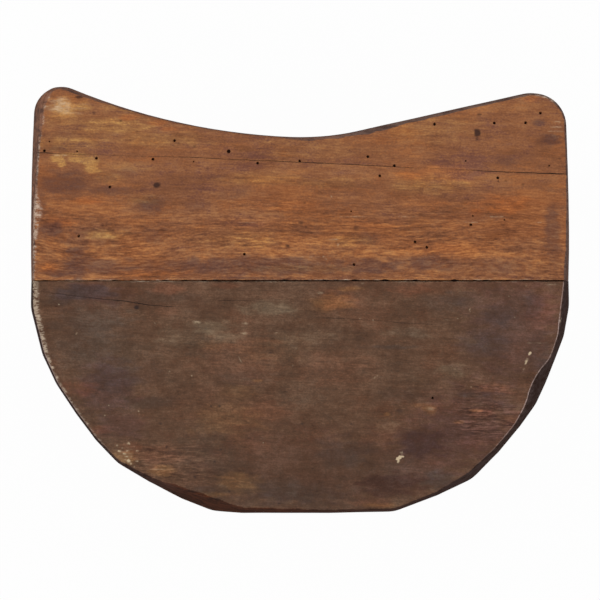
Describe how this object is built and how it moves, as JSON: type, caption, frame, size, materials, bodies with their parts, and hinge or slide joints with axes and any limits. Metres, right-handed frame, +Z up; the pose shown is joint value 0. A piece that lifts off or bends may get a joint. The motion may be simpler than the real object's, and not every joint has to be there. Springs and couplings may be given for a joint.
{
  "type": "milking stool",
  "caption": "Low wooden stool with a hewn, half-round seat of joined planks, a hollowed back edge, cross battens below and splayed eight-sided legs.",
  "frame": {"origin": "on the floor, under the middle of the seat's width and depth", "axes": "+X to the sitter's right along the seam, +Y to the hollowed back edge, +Z up"},
  "size_m": [0.3827, 0.303, 0.254],
  "materials": {
    "back_plank_wood": "old dry orange-brown hardwood, waxed by use",
    "front_plank_wood": "old dark brown hardwood, worn satin",
    "underframe_wood": "shaved, dry and dusty",
    "inner_wood": "split, unfinished",
    "nail_iron": "rusted"
  },
  "bodies": {
    "root": {"seat_back_plank": "back_plank_wood", "seat_front_plank": "front_plank_wood", "left_batten": "underframe_wood", "right_batten": "underframe_wood", "left_rear_leg": "underframe_wood", "right_rear_leg": "underframe_wood", "front_leg": "underframe_wood", "left_rear_leg_wedge": "inner_wood", "right_rear_leg_wedge": "inner_wood", "front_leg_wedge": "inner_wood", "left_seam_dowel": "inner_wood", "middle_seam_dowel": "inner_wood", "right_seam_dowel": "inner_wood", "left_batten_nail_1": "nail_iron", "left_batten_nail_2": "nail_iron", "left_batten_nail_3": "nail_iron", "left_batten_nail_4": "nail_iron", "right_batten_nail_1": "nail_iron", "right_batten_nail_2": "nail_iron", "right_batten_nail_3": "nail_iron", "right_batten_nail_4": "nail_iron"}
  },
  "joints": []
}
